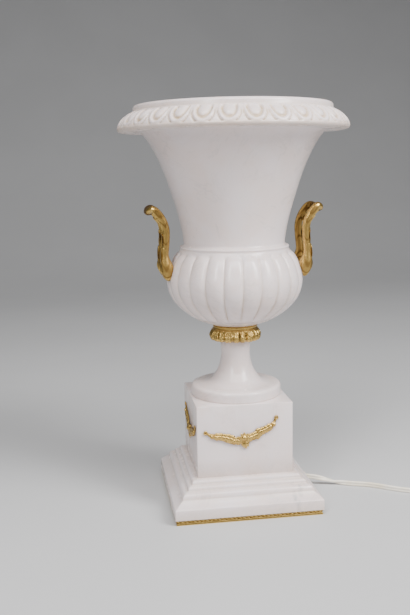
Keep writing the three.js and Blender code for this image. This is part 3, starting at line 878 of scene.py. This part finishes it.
def handle_loop(axis):
    """Two arms that swell into feet on the bowl, joined at the top by a curled bar"""
    height = axis[2][-1]
    arm = height - SPREAD
    whole = 2 * arm + math.pi * SPREAD

    def place(t, turn):
        run = t * whole
        over = np.clip((run - arm) / SPREAD, 0, math.pi)
        reach = SPREAD * 0.8 * np.abs(np.sin(over)) ** 0.65
        up = np.where(run < arm, run, np.where(run > whole - arm, whole - run, arm + reach))
        hand = np.cos(over)
        spread = SPREAD * np.sign(hand) * np.abs(hand) ** 0.65
        share = up / height
        foot = 1 - smooth(up, 12, 28)
        point = np.sqrt(np.clip((up + 0.1) / 10, 0, 1))
        across = np.cos(turn) * 3.8 * (1 + 0.45 * foot) * point
        outer = np.clip(np.sin(turn), 0, 1)
        deep = (3.7 + 1.1 * smooth(share, 0.6, 0.9)) * (1 + 0.42 * foot) * point
        out = np.where(np.sin(turn) > 0, np.sin(turn) * deep, np.sin(turn) * (3.9 + 4.5 * foot))
        leaf = share * 5
        ridge = 0.8 * (leaf - np.floor(leaf))
        ridge = ridge - 0.8 * bump(np.abs(np.cos(turn)) - 0.42, 0.16) - 0.5 * bump(np.cos(turn), 0.1)
        ribs = 0.4 * np.cos(9 * turn) + 0.35 * np.sin(up * 0.5 + 7 * np.cos(turn))
        out = out + (ridge * (1 - foot) + ribs * (0.7 + 0.3 * foot)) * outer * smooth(up, 2, 8)
        normal_up = np.sin(over)
        normal_side = np.where(over <= 0, 1, np.where(over >= math.pi, -1, hand))
        return off_bowl(on_handle(axis, up + normal_up * across, spread + normal_side * across, out))

    return rolled(380, 40, place)


def leaf(axis, along, side, length, width, lift, curl):
    """An acanthus tip that lies on the arm and turns outward at its end"""
    def place(t, turn):
        taper = np.sin(math.pi * np.clip(t, 0, 1) ** 0.75) ** 0.7 * (1 - 0.12 * np.cos(t * 6 * math.pi) ** 2)
        u = np.cos(turn) * taper * width / 2
        body = np.sin(turn) * (0.55 + 0.5 * np.sin(math.pi * t)) * np.where(np.sin(turn) > 0, 1, 0.6)
        groove = np.where(np.sin(turn) > 0, 0.45 * bump(np.cos(turn), 0.22), 0)
        out = lift + curl * t**3 + (body - groove) * np.minimum(taper * 2, 1)
        return on_handle(axis, along + length * (t - 0.14 * curl * t**4), side + u, out)

    return rolled(22, 20, place)


class OBJECT_OT_cast_handles(Operator):
    """Casts the two handles: a leafy loop of two arms, each with a pointed foot laid on the bowl"""
    bl_idname = "object.cast_handles"
    bl_label = "Handles"

    def execute(self, context):
        axis = handle_axis()
        for node, turn in (("handle_right", 0), ("handle_left", 180)):
            parts = [handle_loop(axis)]
            for side in (-SPREAD, SPREAD):
                parts.append(leaf(axis, 17, side, 17, 8.8, 3.8, 0.2))
                parts.append(leaf(axis, 34, side, 20, 8, 2.9, 2.5))
                parts.append(leaf(axis, 55, side * 0.97, 14, 7.6, 3.2, 0.7))
            bm = gathered(parts)
            turned(bm, turn, "Z")
            piece = finish_piece(node + "_cast", bm, gilt(), node, sharp=60)
            x, y, z = np.abs(corners_of(piece.data)).T / MM
            # Painted shade between the arms and on their outer sides; the strokes are chased marks
            between_arms = smooth(13.2 - y, 0, 2.2) * smooth(z, 244, 250)
            strokes = smooth(np.sin(2.7 * y + 0.4 * z + 1.5 * np.sin(0.3 * z)), 0.2, 1)
            gild(piece, 3.6, 0.75 * between_arms + 0.5 * smooth(y, 17.2, 18.6) + 0.3 * strokes)
        return {"FINISHED"}


SWAG_END = 36.5
KNOT = (0.8, -13.2)
SWAG_LINE = (
    (-SWAG_END, 0), (-30.7, -4.4), (-22.9, -7), (-15.5, -10.4), (-10, -13.6), (-2, -15.3), (6.6, -14.4), (14.8, -12.8),
    (20, -10.4), (26, -8.9), (32.9, -5.4), (SWAG_END, 0),
)


def petal(x, z, way, length, width, rise, seat=0.6):
    """One leaf of a swag, domed, with a vein down its middle, pointing along way on the die's face"""
    def place(t, turn):
        taper = np.sin(math.pi * (0.06 + 0.92 * t**0.9)) ** 0.6
        u = np.cos(turn) * taper * width / 2
        dome = np.clip(np.sin(turn), 0, 1) * taper
        high = seat + rise * (0.35 + 0.65 * t) * dome - 0.4 * bump(np.cos(turn), 0.22) * dome
        return np.stack([
            x + math.cos(way) * length * t - math.sin(way) * u, -high,
            z + math.sin(way) * length * t + math.cos(way) * u,
        ], axis=1) * MM

    return rolled(9, 12, place)


def swag_parts(leaves):
    """The parts of a swag, on a face at y = 0: stem, leaves, drop, knot and the rings at its ends"""
    line = flow(SWAG_LINE, 200)
    way = np.gradient(line, axis=0)
    tilt = np.arctan2(way[:, 1], way[:, 0])

    def core(t, turn):
        at = np.rint(t * 100).astype(int) * 2
        swell = 1.1 + 0.8 * bump(np.abs(2 * t - 1) - 0.46, 0.46) + 0.3 * np.abs(np.sin(t * 9.5 * math.pi))
        u = np.cos(turn) * swell
        high = np.clip(np.sin(turn), 0, 1) * swell * 1.05
        return np.stack([
            line[at, 0] - np.sin(tilt[at]) * u, -high, line[at, 1] + np.cos(tilt[at]) * u,
        ], axis=1) * MM

    parts = [rolled(100, 12, core)]
    for hand in (-1, 1):
        for i in range(leaves):
            share = (i + 0.5) / leaves
            at = int(round(100 + hand * (10 + share * 82)))
            x, z = line[at]
            ahead = tilt[at] + (0 if hand < 0 else math.pi)
            size = 1 + 0.1 * math.sin(share * 17) - 0.15 * share + 0.4 * bump(share - 0.45, 0.42)
            for side in (-1, 1):
                parts.append(petal(x, z, ahead + side * 0.55, 5.4 * size, 3.7 * size, 2.3, 0.9))
            parts.append(petal(x, z, ahead + 0.12 * hand, 5.2 * size, 3.2 * size, 2.5, 1.7))
    for i, spread in enumerate((-0.7, -0.35, 0, 0.35, 0.7)):
        parts.append(petal(1, -16.5, -math.pi / 2 + spread, 8.6 - abs(spread) * 3.4, 3.6, 2.2, 0.9 + 0.5 * (i % 2)))
    for i in range(9):
        parts.append(petal(*KNOT, i * math.tau / 9, 5.8, 3.4, 1.4, 2.4))
    parts.append(boss(*KNOT, 3.3, 4.9))
    return parts + [eyelet(-SWAG_END, 0), eyelet(SWAG_END, 0)]


def on_face(bm, x, z):
    """Lays a turned shape over, so that it stands out from the die's face at x and z"""
    turned(bm, 90, "X")
    bmesh.ops.translate(bm, verts=bm.verts, vec=(x * MM, 0, z * MM))
    return bm


def boss(x, z, radius, high):
    """A round boss with its seat on the die's face"""
    dome = [(radius * math.cos(a), high * (0.3 + 0.7 * math.sin(a))) for a in np.linspace(0, 1.45, 8)]
    return on_face(spun([(0, 0), (radius, 0), *dome, (0, high)], 28), x, z)


def eyelet(x, z):
    """The ring that holds one end of a swag"""
    ring = [(1.55 + 0.75 * math.cos(a), 0.95 + 0.75 * math.sin(a)) for a in np.linspace(0, math.tau, 11)[:-1]]
    return on_face(spun(ring, 20, loop=True), x, z)


class OBJECT_OT_hang_swags(Operator):
    """Hangs a garland of leaves, knotted in the middle, on each face of the die"""
    bl_idname = "object.hang_swags"
    bl_label = "Swags"

    def execute(self, context):
        leaves = context.scene.mount_sizes.leaves
        for node, turn, shift, tilt in (
            ("swag_front", 0, -4.4, 9.4), ("swag_left", -90, 6, -3), ("swag_back", 180, 0, 0), ("swag_right", 90, 0, 0),
        ):
            bm = gathered(swag_parts(leaves))
            turned(bm, -tilt, "Y")
            bmesh.ops.translate(bm, verts=bm.verts, vec=(shift * MM, -0.04922, 0.0906))
            turned(bm, turn, "Z")
            piece = finish_piece(node + "_cast", bm, gilt(), node, sharp=60)
            # Painted shade near the die's face, low among the leaves
            proud = np.abs(corners_of(piece.data)[:, :2]).max(axis=1) / MM - DIE_HALF
            gild(piece, 3.4, 0.75 * (1 - smooth(proud, 0.4, 2.6)))
        return {"FINISHED"}


class SCENE_OT_studio(Operator):
    """Lays a plain pale floor that sweeps up behind, and lights the vase softly from the front"""
    bl_idname = "scene.studio"
    bl_label = "Studio"

    def execute(self, context):
        scene = context.scene
        world = bpy.data.worlds.new("studio")
        scene.world = world
        world.use_nodes = True
        sky = world.node_tree.nodes["Background"]
        sky.inputs["Color"].default_value = (0.93, 0.93, 0.94, 1)
        sky.inputs["Strength"].default_value = 0.17
        material, tree, shader = recipe("studio_floor")
        tone = levels(tree, noise(tree, place_of(tree), 3, 3), 0.3, 0.7)
        tree.links.new(blend(tree, tone, (0.55, 0.55, 0.555), (0.53, 0.53, 0.535)), shader.inputs["Base Color"])
        shader.inputs["Roughness"].default_value = 0.8
        bm = bmesh.new()
        bmesh.ops.create_grid(bm, x_segments=8, y_segments=48, size=4)
        for vert in bm.verts:
            vert.co.z = 0.4 * max(0, vert.co.y - 1.5) ** 2
        mesh = bpy.data.meshes.new("floor")
        bm.to_mesh(mesh)
        bm.free()
        mesh.polygons.foreach_set("use_smooth", np.ones(len(mesh.polygons), bool))
        floor = bpy.data.objects.new("floor", mesh)
        mesh.materials.append(material)
        scene.collection.objects.link(floor)
        target = Vector((0, 0, 0.24))
        for name, spot, size, power in (
            ("key", (0.864, -0.806, 1.163), (0.45, 0.9), 32),
            ("fill", (-0.78, -1.05, 1.05), (0.24, 0.7), 11),
            ("front", (-0.15, -0.85, 1.75), (1.3, 0.8), 30),
        ):
            light = bpy.data.lights.new(name, "AREA")
            light.shape = "RECTANGLE"
            light.size, light.size_y = size
            light.energy = power
            lamp = bpy.data.objects.new(name, light)
            lamp.location = spot
            lamp.rotation_euler = (target - Vector(spot)).to_track_quat("-Z", "Y").to_euler()
            scene.collection.objects.link(lamp)
        return {"FINISHED"}


class VIEW3D_PT_medici_vase(Panel):
    bl_label = "Medici Vase"
    bl_space_type = "VIEW_3D"
    bl_region_type = "UI"
    bl_category = "Medici Vase"

    def draw(self, context):
        scene = context.scene
        for group in (scene.vase_sizes, scene.mount_sizes, scene.lead_sizes, scene.finishes):
            box = self.layout.box()
            for name in group.__annotations__:
                box.prop(group, name)
        for operator in OPERATORS:
            self.layout.operator(operator.bl_idname)


GROUPS = (("vase_sizes", VaseSizes), ("mount_sizes", MountSizes), ("lead_sizes", LeadSizes), ("finishes", Finishes))
OPERATORS = (
    SCENE_OT_photo_camera, OBJECT_OT_lay_lead, OBJECT_OT_finish_plug, OBJECT_OT_carve_vase, OBJECT_OT_turn_foot,
    OBJECT_OT_cut_plinth, OBJECT_OT_twist_band, OBJECT_OT_chase_collar, OBJECT_OT_cast_handles,
    OBJECT_OT_hang_swags, SCENE_OT_studio,
)


def register():
    for _, group in GROUPS:
        bpy.utils.register_class(group)
    for operator in OPERATORS:
        bpy.utils.register_class(operator)
    bpy.utils.register_class(VIEW3D_PT_medici_vase)
    for name, group in GROUPS:
        setattr(bpy.types.Scene, name, PointerProperty(type=group))


def unregister():
    for name, _ in GROUPS:
        delattr(bpy.types.Scene, name)
    bpy.utils.unregister_class(VIEW3D_PT_medici_vase)
    for operator in reversed(OPERATORS):
        bpy.utils.unregister_class(operator)
    for _, group in reversed(GROUPS):
        bpy.utils.unregister_class(group)


def main():
    register()
    for operator in OPERATORS:
        family, name = operator.bl_idname.split(".")
        getattr(getattr(bpy.ops, family), name)()


if __name__ == "__main__":
    main()
